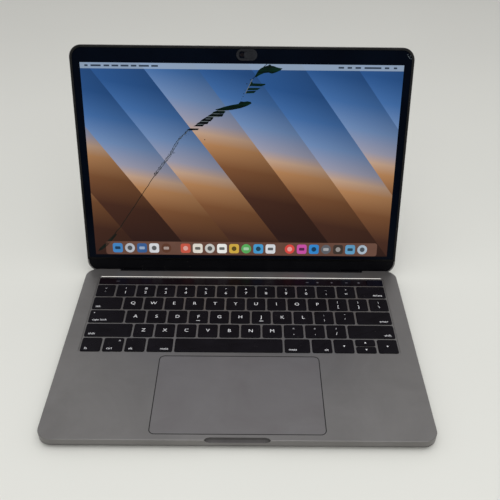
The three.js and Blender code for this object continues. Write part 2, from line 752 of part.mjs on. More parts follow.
const base = new THREE.Group();
base.add(
  piece('top_case', 'aluminium', topCase()),
  piece('bottom_cover', 'aluminium', bottomCover()),
  ...Object.entries(footPlaces).map(([corner, [x, y]]) => (
    place(piece(`foot_${corner}`, 'rubber', rubberFoot()), x, y)
  )),
  ...screwPlaces.map(([x, y], index) => (
    place(piece(`cover_screw_${index + 1}`, 'steel', coverScrew()), x, y)
  )),
  piece('keyboard', 'keyPlastic', keyboard()),
  ...keys.filter((key) => key.name).map((key) => piece(key.name, 'keyPlastic', keyCap(key))),
  piece('touch_strip', 'glass', touchStrip()),
  piece('power_button', 'glass', powerButton()),
  piece('trackpad_glass', 'trackpadGlass', trackpadGlass()),
  piece('trackpad_module', 'steel', trackpadModule()),
  piece('battery_centre', 'battery', batteryCell(middleCell.x, middleCell.y)),
  piece('logic_board', 'board', logicBoard()),
  piece('heat_sink', 'copper', heatSink()),
  piece('audio_jack', 'blackPlastic', audioJack()),
  ...sides.flatMap(({ label, sign }) => [
    piece(`battery_${label}`, 'battery', batteryCell(mirrored(sign, sideCells.x), sideCells.y)),
    place(piece(`fan_housing_${label}`, 'blackPlastic', fanHousing()), sign * fan.x, fan.y),
    place(piece(`fan_rotor_${label}`, 'blackPlastic', fanRotor()), sign * fan.x, fan.y),
    place(piece(`speaker_${label}`, 'blackPlastic', speaker()), sign * speakerBox.x, speakerBox.y),
    piece(`usb_pair_${label}`, 'steel', usbPair(sign)),
    piece(`hinge_bracket_${label}`, 'steel', hingeBracket(sign)),
  ]),
);

const lid = new THREE.Group();
lid.position.set(0, hingeY, hingeZ);
lid.rotation.x = -openAngle;
lid.add(
  piece('lid_shell', 'aluminium', lidShell()),
  piece('display_glass', 'glass', displayGlass()),
  piece('lid_gasket', 'rubber', lidGasket()),
  piece('display_panel', 'screen', displayPanel()),
  piece('camera_module', 'board', cameraModule()),
  piece('hinge_cover', 'blackPlastic', hingeCover()),
  ...sides.map(({ label, sign }) => piece(`hinge_arm_${label}`, 'steel', hingeArm(sign))),
  piece('webcam_cover', 'blackPlastic', webcamCover()),
  piece('webcam_shutter', 'blackPlastic', webcamShutter()),
);

// The origin is on the table, under the middle of the open laptop
const laptop = new THREE.Group();
laptop.add(base, lid);
laptop.updateMatrixWorld(true);
const middle = new THREE.Box3().setFromObject(laptop, true).getCenter(new THREE.Vector3());
laptop.position.set(0, -middle.y, 0);

export default laptop;
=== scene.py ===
import json
import math
import random

import bpy
from mathutils import Matrix, Vector


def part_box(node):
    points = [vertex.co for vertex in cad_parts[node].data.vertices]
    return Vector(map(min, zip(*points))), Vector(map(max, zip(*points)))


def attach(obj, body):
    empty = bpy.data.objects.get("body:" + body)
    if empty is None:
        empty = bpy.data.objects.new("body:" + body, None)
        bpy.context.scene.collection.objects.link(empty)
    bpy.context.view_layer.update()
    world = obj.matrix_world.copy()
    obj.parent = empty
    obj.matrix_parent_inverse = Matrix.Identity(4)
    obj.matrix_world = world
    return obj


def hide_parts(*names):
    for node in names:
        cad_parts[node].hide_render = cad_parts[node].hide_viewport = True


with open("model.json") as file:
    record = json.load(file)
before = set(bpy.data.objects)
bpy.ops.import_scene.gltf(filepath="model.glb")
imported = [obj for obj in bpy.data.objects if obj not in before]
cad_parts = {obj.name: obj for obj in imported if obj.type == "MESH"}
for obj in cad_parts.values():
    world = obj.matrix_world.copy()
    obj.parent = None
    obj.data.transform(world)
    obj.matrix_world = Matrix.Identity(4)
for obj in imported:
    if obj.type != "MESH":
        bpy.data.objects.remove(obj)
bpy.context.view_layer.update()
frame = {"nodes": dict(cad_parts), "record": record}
mm = 0.001
film = 0.02 * mm  # thickness of lettering and of what is drawn on the glass
jointRows = {row["name"]: row for row in frame["record"]["behaviour"]["joints"]}


# picking and shaping, as by hand in edit mode

def deselectAll():
    if bpy.context.object and bpy.context.object.mode != "OBJECT":
        bpy.ops.object.mode_set(mode="OBJECT")
    bpy.ops.object.select_all(action="DESELECT")


def makeActive(piece):
    deselectAll()
    piece.select_set(True)
    bpy.context.view_layer.objects.active = piece


def named(name):
    piece = bpy.context.object
    piece.name = name
    piece.data.name = name
    return piece


def settle(piece):
    makeActive(piece)  # the place goes into the mesh
    bpy.ops.object.transform_apply(location=True, rotation=True, scale=True)
    return piece


def addBlock(name, low, high):
    deselectAll()
    middle = [(a + b) / 2 for a, b in zip(low, high)]
    bpy.ops.mesh.primitive_cube_add(size=1, location=middle)
    piece = named(name)
    piece.scale = [b - a for a, b in zip(low, high)]
    return settle(piece)


def addDisc(name, centre, radius, thickness, sides=24):
    deselectAll()
    bpy.ops.mesh.primitive_cylinder_add(vertices=sides, radius=radius, depth=thickness, location=centre)
    return settle(named(name))


def openEdit(piece, domain):
    makeActive(piece)
    bpy.context.tool_settings.mesh_select_mode = (False, domain == "edge", domain == "face")
    mesh = piece.data
    for group in (mesh.vertices, mesh.edges, mesh.polygons):
        group.foreach_set("select", [False] * len(group))
    return mesh


def pickEdges(piece, test):
    mesh = openEdit(piece, "edge")
    for edge in mesh.edges:
        a, b = (mesh.vertices[i].co for i in edge.vertices)
        edge.select = test(a, b)
    bpy.ops.object.mode_set(mode="EDIT")


def pickFaces(piece, test):
    mesh = openEdit(piece, "face")
    for face in mesh.polygons:
        face.select = test(face)
    bpy.ops.object.mode_set(mode="EDIT")


def closeEdit():
    bpy.ops.object.mode_set(mode="OBJECT")


def bevelEdges(piece, test, width, steps):
    pickEdges(piece, test)
    bpy.ops.mesh.bevel(offset=width, segments=steps, profile=0.5, affect="EDGES")
    closeEdit()


def upright(a, b):
    return abs(a.x - b.x) < 1e-7 and abs(a.y - b.y) < 1e-7


def atHeight(z):
    return lambda a, b: abs(a.z - z) < 1e-7 and abs(b.z - z) < 1e-7


def roundedSlab(name, low, high, corner, cornerSteps, edge=0.0, edgeSteps=2):
    slab = addBlock(name, low, high)
    bevelEdges(slab, upright, corner, cornerSteps)
    if edge:
        bevelEdges(slab, atHeight(high[2]), edge, edgeSteps)
    return slab


def joinAll(name, pieces):
    deselectAll()
    for piece in pieces:
        piece.select_set(True)
    bpy.context.view_layer.objects.active = pieces[0]
    bpy.ops.object.join()
    return named(name)


def smooth(piece, degrees=35):
    makeActive(piece)
    bpy.ops.object.shade_smooth_by_angle(angle=math.radians(degrees))
    return piece


def cutOutline(name, points, thickness, z):
    deselectAll()  # a flat ring of points, filled and pulled up into a thin plate
    bpy.ops.mesh.primitive_circle_add(vertices=len(points), radius=1, fill_type="NGON")
    piece = named(name)
    for vertex, (x, y) in zip(piece.data.vertices, points):
        vertex.co = (x, y, z)
    pickFaces(piece, lambda face: True)
    bpy.ops.mesh.extrude_region_move(TRANSFORM_OT_translate={"value": (0, 0, thickness)})
    bpy.ops.mesh.select_all(action="SELECT")
    bpy.ops.mesh.normals_make_consistent(inside=False)
    closeEdit()
    return piece


def writeText(name, words, size, place, align="CENTER"):
    deselectAll()
    bpy.ops.object.text_add(location=place)
    letters = bpy.context.object
    letters.data.body = words
    letters.data.size = size
    letters.data.align_x = align
    letters.data.align_y = "CENTER"
    letters.data.extrude = film / 2
    letters.data.resolution_u = 3
    bpy.ops.object.convert(target="MESH")
    piece = settle(named(name))
    pickFaces(piece, lambda face: True)
    bpy.ops.mesh.remove_doubles(threshold=0.001 * mm)  # front, back and sides come apart
    closeEdit()
    return piece


def finishPiece(piece, body, material, replaced=()):
    piece.data.materials.clear()
    piece.data.materials.append(material)
    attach(piece, body)
    for node in replaced:
        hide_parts(node)


# shader helpers

def linear(red, green, blue):
    def channel(value):
        value /= 255
        return value / 12.92 if value <= 0.04045 else ((value + 0.055) / 1.055) ** 2.4
    return (channel(red), channel(green), channel(blue), 1)


def freshMaterial(name):
    material = bpy.data.materials.new(name)
    material.use_nodes = True
    tree = material.node_tree
    return material, tree, tree.nodes["Principled BSDF"]


def newNode(tree, kind, **settings):
    node = tree.nodes.new(kind)
    for key, value in settings.items():
        setattr(node, key, value)
    return node


def newMath(tree, operation, first, second=None, clamp=False):
    node = newNode(tree, "ShaderNodeMath", operation=operation, use_clamp=clamp)
    for socket, value in zip(node.inputs, (first, second)):
        if isinstance(value, (int, float)):
            socket.default_value = value
        elif value is not None:
            tree.links.new(value, socket)
    return node.outputs[0]


def newMix(tree, factor, first, second, blend="MIX"):
    node = newNode(tree, "ShaderNodeMix", data_type="RGBA", blend_type=blend)
    for socket, value in ((node.inputs[0], factor), (node.inputs[6], first), (node.inputs[7], second)):
        if isinstance(value, (int, float, tuple)):
            socket.default_value = value
        else:
            tree.links.new(value, socket)
    return node.outputs[2]


def newRamp(tree, factor, stops):
    node = newNode(tree, "ShaderNodeValToRGB")
    while len(node.color_ramp.elements) < len(stops):
        node.color_ramp.elements.new(0.5)
    for element, (place, color) in zip(node.color_ramp.elements, stops):
        element.position = place
        element.color = color
    tree.links.new(factor, node.inputs[0])
    return node.outputs[0]


def groupTree(name, inputs, outputs):
    tree = bpy.data.node_groups.new(name, "ShaderNodeTree")
    for socketName, kind, value in inputs:
        socket = tree.interface.new_socket(name=socketName, in_out="INPUT", socket_type=kind)
        if value is not None:
            socket.default_value = value
    for socketName, kind in outputs:
        tree.interface.new_socket(name=socketName, in_out="OUTPUT", socket_type=kind)
    return tree, newNode(tree, "NodeGroupInput"), newNode(tree, "NodeGroupOutput")


def useGroup(tree, group, **values):
    node = newNode(tree, "ShaderNodeGroup", node_tree=group)
    for key, value in values.items():
        if isinstance(value, (int, float, tuple)):
            node.inputs[key].default_value = value
        else:
            tree.links.new(value, node.inputs[key])
    return node


def buildSmudgeGroup():
    tree, entry, leave = groupTree("fingerSmudge", [
        ("Place", "NodeSocketVector", None),
        ("Scale", "NodeSocketFloat", 30.0),
        ("Sharpness", "NodeSocketFloat", 0.2),
    ], [("Mask", "NodeSocketFloat"), ("Streak", "NodeSocketFloat")])
    blotch = newNode(tree, "ShaderNodeTexNoise")
    blotch.inputs["Detail"].default_value = 5
    blotch.inputs["Roughness"].default_value = 0.62
    blotch.inputs["Distortion"].default_value = 0.6
    tree.links.new(entry.outputs["Place"], blotch.inputs["Vector"])
    tree.links.new(entry.outputs["Scale"], blotch.inputs["Scale"])
    low = newMath(tree, "SUBTRACT", 0.5, entry.outputs["Sharpness"])
    span = newMath(tree, "MULTIPLY", entry.outputs["Sharpness"], 2.0)
    mask = newMath(tree, "DIVIDE", newMath(tree, "SUBTRACT", blotch.outputs["Fac"], low), span, clamp=True)
    stretch = newNode(tree, "ShaderNodeMapping")
    stretch.inputs["Rotation"].default_value = (0.0, 0.0, 0.6)
    stretch.inputs["Scale"].default_value = (1.0, 9.0, 3.0)
    tree.links.new(entry.outputs["Place"], stretch.inputs["Vector"])
    streak = newNode(tree, "ShaderNodeTexNoise")
    streak.inputs["Detail"].default_value = 3
    tree.links.new(stretch.outputs[0], streak.inputs["Vector"])
    tree.links.new(entry.outputs["Scale"], streak.inputs["Scale"])
    tree.links.new(mask, leave.inputs["Mask"])
    tree.links.new(streak.outputs["Fac"], leave.inputs["Streak"])
    return tree


def buildGrainGroup():
    tree, entry, leave = groupTree("fineGrain", [
        ("Place", "NodeSocketVector", None), ("Scale", "NodeSocketFloat", 3000.0),
    ], [("Height", "NodeSocketFloat"), ("Speck", "NodeSocketFloat")])
    grain = newNode(tree, "ShaderNodeTexNoise")
    grain.inputs["Detail"].default_value = 2
    tree.links.new(entry.outputs["Place"], grain.inputs["Vector"])
    tree.links.new(entry.outputs["Scale"], grain.inputs["Scale"])
    dust = newNode(tree, "ShaderNodeTexVoronoi")
    dust.inputs["Scale"].default_value = 420
    tree.links.new(entry.outputs["Place"], dust.inputs["Vector"])
    speck = newMath(tree, "LESS_THAN", dust.outputs["Distance"], 0.09)
    scatter = newNode(tree, "ShaderNodeTexNoise")
    scatter.inputs["Scale"].default_value = 55
    tree.links.new(entry.outputs["Place"], scatter.inputs["Vector"])
    few = newMath(tree, "GREATER_THAN", scatter.outputs["Fac"], 0.6)
    tree.links.new(grain.outputs["Fac"], leave.inputs["Height"])
    tree.links.new(newMath(tree, "MULTIPLY", speck, few), leave.inputs["Speck"])
    return tree


smudgeGroup = buildSmudgeGroup()
grainGroup = buildGrainGroup()


def objectPlace(tree):
    return newNode(tree, "ShaderNodeTexCoord").outputs["Object"]


def surfaceMaterial(name, look):
    material, tree, shader = freshMaterial(name)
    place = objectPlace(tree)
    smudge = useGroup(tree, smudgeGroup, Place=place, Scale=look["smudgeScale"], Sharpness=0.2)
    grain = useGroup(tree, grainGroup, Place=place, Scale=look["grainScale"])
    tint = newMix(tree, smudge.outputs["Mask"], look["color"], look["worn"])
    tint = newMix(tree, newMath(tree, "MULTIPLY", grain.outputs["Speck"], look.get("dust", 0.0)), tint,
                  linear(150, 146, 140))
    tree.links.new(tint, shader.inputs["Base Color"])
    low, high = look["roughness"]
    shine = newMath(tree, "MULTIPLY_ADD", smudge.outputs["Streak"], high - low)
    shine.node.inputs[2].default_value = low
    tree.links.new(shine, shader.inputs["Roughness"])
    bump = newNode(tree, "ShaderNodeBump")
    bump.inputs["Strength"].default_value = look["bump"]
    bump.inputs["Distance"].default_value = look.get("bumpDepth", 0.00004)
    tree.links.new(grain.outputs["Height"], bump.inputs["Height"])
    tree.links.new(bump.outputs["Normal"], shader.inputs["Normal"])
    shader.inputs["Metallic"].default_value = look.get("metallic", 0.0)
    shader.inputs["Specular IOR Level"].default_value = look.get("specular", 0.5)
    return material


finishLooks = {
    "anodisedGrey": dict(color=linear(131, 129, 128), worn=linear(121, 119, 118), metallic=0.85,
                         roughness=(0.36, 0.52), smudgeScale=18, grainScale=4200, bump=0.25,
                         bumpDepth=0.00002, dust=0.25),
    # painted shade: darker grey for the sheet over the thumb scoop, standing for the shade in the recess
    "scoopPaintedShade": dict(color=linear(74, 72, 72), worn=linear(64, 62, 62), metallic=0.6,
                      roughness=(0.45, 0.6), smudgeScale=60, grainScale=4200, bump=0.25,
                      bumpDepth=0.00002),
    "keyBlack": dict(color=linear(14, 12, 16), worn=linear(21, 19, 24), roughness=(0.38, 0.6),
                     specular=0.06, smudgeScale=60, grainScale=5200, bump=0.2, bumpDepth=0.00002,
                     dust=0.25),
    "hingeBlack": dict(color=linear(5, 5, 8), worn=linear(11, 11, 14), roughness=(0.35, 0.5), specular=0.06,
                       smudgeScale=40, grainScale=3600, bump=0.3, dust=0.3),
    "sealRubber": dict(color=linear(14, 14, 15), worn=linear(30, 30, 30), roughness=(0.7, 0.9),
                       specular=0.2, smudgeScale=50, grainScale=2500, bump=0.4, dust=0.5),
    "touchBlack": dict(color=linear(12, 8, 12), worn=linear(20, 13, 19), roughness=(0.14, 0.3),
                       specular=0.1, smudgeScale=45, grainScale=4000, bump=0.05, dust=0.25),
    "powerBlack": dict(color=linear(8, 9, 18), worn=linear(14, 15, 26), roughness=(0.2, 0.34),
                       specular=0.12, smudgeScale=90, grainScale=4000, bump=0.05, dust=0.2),
    "padGrey": dict(color=linear(112, 110, 111), worn=linear(105, 102, 103), metallic=0.35,
                    roughness=(0.3, 0.46), smudgeScale=22, grainScale=5000, bump=0.1, bumpDepth=0.00001,
                    dust=0.2),
    "coverPlastic": dict(color=linear(17, 19, 25), worn=linear(25, 27, 33), roughness=(0.42, 0.6),
                         specular=0.2, smudgeScale=90, grainScale=3000, bump=0.4, dust=0.3),
    "bareSteel": dict(color=linear(168, 168, 170), worn=linear(140, 139, 139), metallic=1.0,
                      roughness=(0.25, 0.42), smudgeScale=120, grainScale=2600, bump=0.2),
    "copper": dict(color=linear(196, 120, 82), worn=linear(150, 88, 60), metallic=1.0,
                   roughness=(0.25, 0.45), smudgeScale=90, grainScale=2600, bump=0.2),
    "circuitBoard": dict(color=linear(14, 28, 24), worn=linear(22, 40, 33), roughness=(0.4, 0.6),
                         smudgeScale=90, grainScale=1500, bump=0.4),
    "darkWrap": dict(color=linear(30, 30, 33), worn=linear(42, 42, 44), roughness=(0.5, 0.75),
                     smudgeScale=50, grainScale=2200, bump=0.4),
}
finish = {name: surfaceMaterial(name, look) for name, look in finishLooks.items()}
print("finishes ready:", len(finish))

nodeFinish = {
    "anodisedGrey": ["top_case", "bottom_cover", "lid_shell"],
    "keyBlack": ["keyboard"],
    # the steel hinge arms take this black as painted shade, inside the hinge slots
    "hingeBlack": ["hinge_cover", "hinge_arm_left", "hinge_arm_right"],
    "sealRubber": ["lid_gasket", "foot_front_left", "foot_front_right", "foot_rear_left",
                   "foot_rear_right"],
    "touchBlack": ["touch_strip", "display_glass"],
    "powerBlack": ["power_button"],
    "padGrey": ["trackpad_glass"],
    "coverPlastic": ["webcam_cover", "webcam_shutter"],
    "bareSteel": ["trackpad_module", "usb_pair_left", "usb_pair_right", "hinge_bracket_left",
                  "hinge_bracket_right"] + ["cover_screw_%d" % n for n in range(1, 7)],
    "copper": ["heat_sink"],
    "circuitBoard": ["logic_board", "camera_module"],
    "darkWrap": ["battery_left", "battery_centre", "battery_right", "audio_jack", "fan_housing_left",
                 "fan_housing_right", "fan_rotor_left", "fan_rotor_right", "speaker_left", "speaker_right",
                 "display_panel"],
}
namedKeys = sorted(node for node in frame["nodes"] if node.startswith("key_"))
nodeFinish["keyBlack"] += namedKeys
for finishName, nodes in nodeFinish.items():
    for node in nodes:
        mesh = frame["nodes"][node].data
        mesh.materials.clear()
        mesh.materials.append(finish[finishName])

# the laptop's own measures
caseLow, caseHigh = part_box("top_case")
frontY = caseLow[1]
deckZ = caseHigh[2]
hingeRow = jointRows["lid_hinge"]
hingePoint = Vector(hingeRow["pos_m"])
openDegrees = -hingeRow["range_deg"][0]
lidFace = {"offset": 3 * mm, "topEdge": 210.4 * mm, "halfWidth": caseHigh[0]}
# on the lid x runs across, y up the display and z out of its face
lidPlace = (Matrix.Translation(hingePoint) @ Matrix.Rotation(math.radians(180 - openDegrees), 4, "X")
            @ Matrix.Translation((0, 0, -lidFace["offset"])))


def toLid(piece):
    piece.matrix_world = lidPlace
    return settle(piece)


# key caps

keyShape = {"unit": 19.05 * mm, "rowPitch": 18.6 * mm, "rowUnits": 14.5, "front": 93.7 * mm,
            "web": 1.6 * mm, "clearance": 0.3 * mm, "corner": 1.3 * mm, "edge": 0.22 * mm,
            "rim": 1.3 * mm, "dish": 0.08 * mm, "top": deckZ + 0.2 * mm, "height": 1.9 * mm,
            "plateDrop": 2.6 * mm, "plateCorner": 2 * mm}
squareRows = {1: (2.25, "zxcvbnm,./"), 2: (1.75, "asdfghjkl;'"), 3: (1.5, "qwertyuiop[]\\"),
              4: (0, "`1234567890-=")}  # key widths before the first one, then the keys
shifted = dict(zip("`1234567890-=[]\\;',./", "~!@#$%^&*()_+{}|:\"<>?"))


def modelCap(name, low, high):
    cap = roundedSlab(name, low, high, keyShape["corner"], 4, keyShape["edge"], 3)
    pickFaces(cap, lambda face: face.normal.z > 0.99)
    bpy.ops.mesh.inset(thickness=keyShape["rim"], depth=-keyShape["dish"])
    closeEdit()
    return smooth(cap)


def squareKeyPlaces():
    inset = keyShape["web"] / 2 + keyShape["clearance"]
    left = -keyShape["rowUnits"] * keyShape["unit"] / 2
    for row, (before, marks) in squareRows.items():
        y = frontY + keyShape["front"] + row * keyShape["rowPitch"]
        for index, mark in enumerate(marks):
            x = left + (before + index) * keyShape["unit"]
            right, rear = x + keyShape["unit"], y + keyShape["rowPitch"]
            yield mark, (x + inset, y + inset), (right - inset, rear - inset)


def copyOf(original, name, offset):
    twin = original.copy()
    twin.data = original.data.copy()
    twin.name = name
    twin.data.name = name
    bpy.context.collection.objects.link(twin)
    twin.location = offset
    return settle(twin)


def makeSquareKeys():
    places = list(squareKeyPlaces())
    top = keyShape["top"]
    firstLow, firstHigh = places[0][1], places[0][2]
    first = modelCap("squareCap", (*firstLow, top - keyShape["height"]), (*firstHigh, top))
    caps = [first]
    for mark, low, high in places[1:]:
        caps.append(copyOf(first, "squareCap", (low[0] - firstLow[0], low[1] - firstLow[1], 0)))
    low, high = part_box("keyboard")
    plateHigh = (high[0], high[1], top - keyShape["plateDrop"])
    caps.append(roundedSlab("keyPlate", low, plateHigh, keyShape["plateCorner"], 4))
    keys = joinAll("squareKeys", caps)
    finishPiece(keys, "base", finish["keyBlack"], ["keyboard"])
    return places


def makeNamedKeys():
    for node in namedKeys:
        low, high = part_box(node)
        cap = modelCap(node.replace("key_", "cap_"), low, high)
        finishPiece(cap, node, finish["keyBlack"], [node])


squarePlaces = makeSquareKeys()
makeNamedKeys()
print("key caps done")


# key legends

legendLook = {"color": linear(214, 214, 216), "worn": linear(176, 176, 180), "letter": 5.6 * mm,
              "digit": 5.0 * mm, "symbol": 3.2 * mm, "word": 3.6 * mm, "caret": 4.4 * mm,
              "rise": -0.06 * mm, "margin": 3.1 * mm, "digitDown": 2.9 * mm, "symbolUp": 3.3 * mm,
              "wordUp": 3.2 * mm, "glow": 0.3}
homeBar = {"keys": "fj", "half": 1.8 * mm, "front": 5.6 * mm, "rear": 5.1 * mm, "below": 0.05 * mm,
           "above": 0.12 * mm, "corner": 0.2 * mm}


def legendMaterial():
    material, tree, shader = freshMaterial("legendInk")
    smudge = useGroup(tree, smudgeGroup, Place=objectPlace(tree), Scale=140.0, Sharpness=0.3)
    worn = newMix(tree, smudge.outputs["Mask"], legendLook["color"], legendLook["worn"])
    tree.links.new(worn, shader.inputs["Base Color"])
    tree.links.new(worn, shader.inputs["Emission Color"])
    shader.inputs["Emission Strength"].default_value = legendLook["glow"]  # painted light: the ink glows faintly so it reads brighter
    shader.inputs["Roughness"].default_value = 0.6
    return material


legendInk = legendMaterial()
legendZ = keyShape["top"] + legendLook["rise"]


def makeSquareLegends():
    letters = []
    for mark, low, high in squarePlaces:
        x, y = (low[0] + high[0]) / 2, (low[1] + high[1]) / 2
        if mark in shifted:
            below = (x, y - legendLook["digitDown"], legendZ)
            above = (x, y + legendLook["symbolUp"], legendZ)
            letters.append(writeText("mark", mark, legendLook["digit"], below))
            letters.append(writeText("mark", shifted[mark], legendLook["symbol"], above))
        else:
            letters.append(writeText("mark", mark.upper(), legendLook["letter"], (x, y, legendZ)))
        if mark in homeBar["keys"]:
            nearLow = (x - homeBar["half"], y - homeBar["front"], legendZ - homeBar["below"])
            farHigh = (x + homeBar["half"], y - homeBar["rear"], legendZ + homeBar["above"])
            letters.append(roundedSlab("homeBar", nearLow, farHigh, homeBar["corner"], 3))
    legends = joinAll("squareKeyLegends", letters)
    finishPiece(legends, "base", legendInk)


wordLegends = {
    "key_tab": ("tab", "LEFT"), "key_caps_lock": ("caps lock", "LEFT"), "key_shift_left": ("shift", "LEFT"),
    "key_fn": ("fn", "LEFT"), "key_ctrl": ("ctrl", "LEFT"), "key_alt_left": ("alt", "LEFT"),
    "key_meta_left": ("meta", "RIGHT"), "key_meta_right": ("meta", "LEFT"),
    "key_alt_right": ("alt", "RIGHT"), "key_shift_right": ("shift", "RIGHT"),
    "key_enter": ("enter", "RIGHT"), "key_delete": ("delete", "RIGHT"),
}
lockLamp = {"key": "key_caps_lock", "inset": 3.6 * mm, "radius": 0.55 * mm}
caret = {"key": "key_ctrl", "aside": 3.4 * mm, "back": 4.2 * mm}
arrow = {"tip": 0.9 * mm, "foot": 0.8 * mm, "half": 1.0 * mm}
arrowTurns = {"key_arrow_up": 0, "key_arrow_left": 90, "key_arrow_down": 180, "key_arrow_right": 270}


def rearMark(node, low, high):
    if node == lockLamp["key"]:
        place = (low[0] + lockLamp["inset"], high[1] - lockLamp["inset"], legendZ)
        return [addDisc("lockLamp", place, lockLamp["radius"], film, 16)]
    if node == caret["key"]:
        place = (high[0] - caret["aside"], high[1] - caret["back"], legendZ)
        return [writeText("caret", "^", legendLook["caret"], place)]
    return []


def makeWordLegends():
    for node, (word, align) in wordLegends.items():
        low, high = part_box(node)
        x = low[0] + legendLook["margin"] if align == "LEFT" else high[0] - legendLook["margin"]
        legend = writeText(node.replace("key_", "legend_"), word, legendLook["word"],
                           (x, low[1] + legendLook["wordUp"], legendZ), align)
        extra = rearMark(node, low, high)
        if extra:
            legend = joinAll(legend.name, [legend] + extra)
        finishPiece(legend, node, legendInk)
    for node, turn in arrowTurns.items():
        low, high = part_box(node)
        middle = Vector(((low[0] + high[0]) / 2, (low[1] + high[1]) / 2, 0))
        turned = Matrix.Rotation(math.radians(turn), 3, "Z")
        foot, half = -arrow["foot"], arrow["half"]
        shape = ((0, arrow["tip"], 0), (-half, foot, 0), (half, foot, 0))
        corners = [middle + turned @ Vector(point) for point in shape]
        outline = [(corner.x, corner.y) for corner in corners]
        legend = cutOutline(node.replace("key_", "legend_"), outline, film, legendZ - film / 2)
        finishPiece(legend, node, legendInk)


makeSquareLegends()
makeWordLegends()
print("legends done")


# display: black border, lit picture, crack and dead streak

display = {"width": 286.5 * mm, "height": 179.1 * mm, "bottom": 16.6 * mm, "thickness": 0.8 * mm,
           "glassInset": 2.3 * mm, "glassBottom": 11.5 * mm, "corner": 8.7 * mm, "edge": 0.15 * mm,
           "pictureRise": 0.01 * mm, "pictureDepth": 0.1 * mm, "smudgeScale": 25.0, "smudgeEdge": 0.25,
           "streakShine": 0.12}


def borderMaterial():
    material, tree, shader = freshMaterial("borderBlack")
    smudge = useGroup(tree, smudgeGroup, Place=objectPlace(tree), Scale=display["smudgeScale"],
                      Sharpness=display["smudgeEdge"])
    tint = newMix(tree, smudge.outputs["Mask"], linear(1, 4, 13), linear(3, 9, 21))
    tree.links.new(tint, shader.inputs["Base Color"])
    shine = newMath(tree, "MULTIPLY_ADD", smudge.outputs["Streak"], display["streakShine"])
    shine.node.inputs[2].default_value = 0.04
    tree.links.new(shine, shader.inputs["Roughness"])
    shader.inputs["Specular IOR Level"].default_value = 0.04
    return material


folds = {"across": 6.0, "up": 2.9, "heightSpread": 0.26, "lean": 0.05, "lightSide": 1.08,
         "darkening": -0.34, "menuStart": 0.972, "colors": [
             (0.0, (45, 25, 20)), (0.2, (70, 42, 30)), (0.36, (122, 80, 50)), (0.48, (176, 128, 86)),
             (0.54, (190, 158, 134)), (0.6, (152, 152, 170)), (0.72, (110, 138, 180)),
             (0.86, (66, 108, 164)), (1.0, (42, 84, 140))]}


def pictureMaterial():
    material, tree, shader = freshMaterial("litPicture")  # slanted folded strips, warm below and blue above
    spread = newNode(tree, "ShaderNodeUVMap", uv_map="picture")
    split = newNode(tree, "ShaderNodeSeparateXYZ")
    tree.links.new(spread.outputs[0], split.inputs[0])
    across, up = split.outputs[0], split.outputs[1]
    sideways = newMath(tree, "MULTIPLY", across, folds["across"])
    fold = newMath(tree, "ADD", sideways, newMath(tree, "MULTIPLY", up, folds["up"]))
    part = newMath(tree, "FRACT", fold)
    chance = newNode(tree, "ShaderNodeTexWhiteNoise", noise_dimensions="1D")
    tree.links.new(newMath(tree, "FLOOR", fold), chance.inputs["W"])
    centred = newMath(tree, "SUBTRACT", chance.outputs["Value"], 0.5)
    offset = newMath(tree, "MULTIPLY", centred, folds["heightSpread"])
    lean = newMath(tree, "MULTIPLY", part, folds["lean"])
    height = newMath(tree, "ADD", newMath(tree, "ADD", up, offset), lean)
    color = newRamp(tree, height, [(place, linear(*tint)) for place, tint in folds["colors"]])
    shade = newMath(tree, "ADD", newMath(tree, "MULTIPLY", part, folds["darkening"]), folds["lightSide"])
    color = newMix(tree, 1.0, color, shade, "MULTIPLY")
    bar = newMath(tree, "GREATER_THAN", up, folds["menuStart"])
    color = newMix(tree, newMath(tree, "MULTIPLY", bar, 0.6), color, linear(176, 194, 212))
    tree.links.new(color, shader.inputs["Emission Color"])
    shader.inputs["Emission Strength"].default_value = 0.9
    shader.inputs["Base Color"].default_value = linear(6, 6, 8)
    smudge = useGroup(tree, smudgeGroup, Place=objectPlace(tree), Scale=display["smudgeScale"],
                      Sharpness=display["smudgeEdge"])
    shine = newMath(tree, "MULTIPLY_ADD", smudge.outputs["Streak"], display["streakShine"])
    shine.node.inputs[2].default_value = 0.05
    tree.links.new(shine, shader.inputs["Roughness"])
    shader.inputs["Specular IOR Level"].default_value = 0.06
    return material


def glowMaterial(name, color, second, strength=0.9, scale=120.0):
    material, tree, shader = freshMaterial(name)
    smudge = useGroup(tree, smudgeGroup, Place=objectPlace(tree), Scale=scale, Sharpness=0.3)
    glow = newMix(tree, smudge.outputs["Mask"], color, second)
    tree.links.new(glow, shader.inputs["Emission Color"])
    shader.inputs["Emission Strength"].default_value = strength
    shader.inputs["Base Color"].default_value = linear(6, 6, 8)
    shader.inputs["Roughness"].default_value = 0.12
    shader.inputs["Specular IOR Level"].default_value = 0.06
    return material


def atLidTop(a, b):
    return upright(a, b) and a.y > lidFace["topEdge"] / 2


def makeDisplay():
    half = lidFace["halfWidth"] - display["glassInset"]
    top = lidFace["topEdge"] - display["glassInset"]
    paneLow = (-half, display["glassBottom"], -display["thickness"])
    pane = addBlock("crackedDisplay", paneLow, (half, top, 0))
    bevelEdges(pane, atLidTop, display["corner"], 8)
    bevelEdges(pane, atHeight(0), display["edge"], 2)
    pane.data.materials.append(borderBlack)
    smooth(toLid(pane), 15)  # the face itself stays flat
    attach(pane, "lid")
    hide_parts("display_glass")
    halfPicture = display["width"] / 2
    low, high = display["bottom"], display["bottom"] + display["height"]
    picture = addBlock("litScreen", (-halfPicture, low, -display["pictureDepth"]),
                       (halfPicture, high, display["pictureRise"]))
    layer = picture.data.uv_layers.new(name="picture")
    for loop in picture.data.loops:
        spot = picture.data.vertices[loop.vertex_index].co
        layer.data[loop.index].uv = (spot.x / display["width"] + 0.5, (spot.y - low) / display["height"])
    toLid(picture)
    finishPiece(picture, "lid", pictureMaterial())


# soft black seal between the glass and the bare rim, widened over most of the rim's face to paint the rim's
# dark reflection
sealAndPaintedRim = {"outer": 0.3 * mm, "inner": 2.2 * mm, "proud": 0.5 * mm, "depth": 0.6 * mm,
            "corner": 11 * mm, "edge": 0.3 * mm}


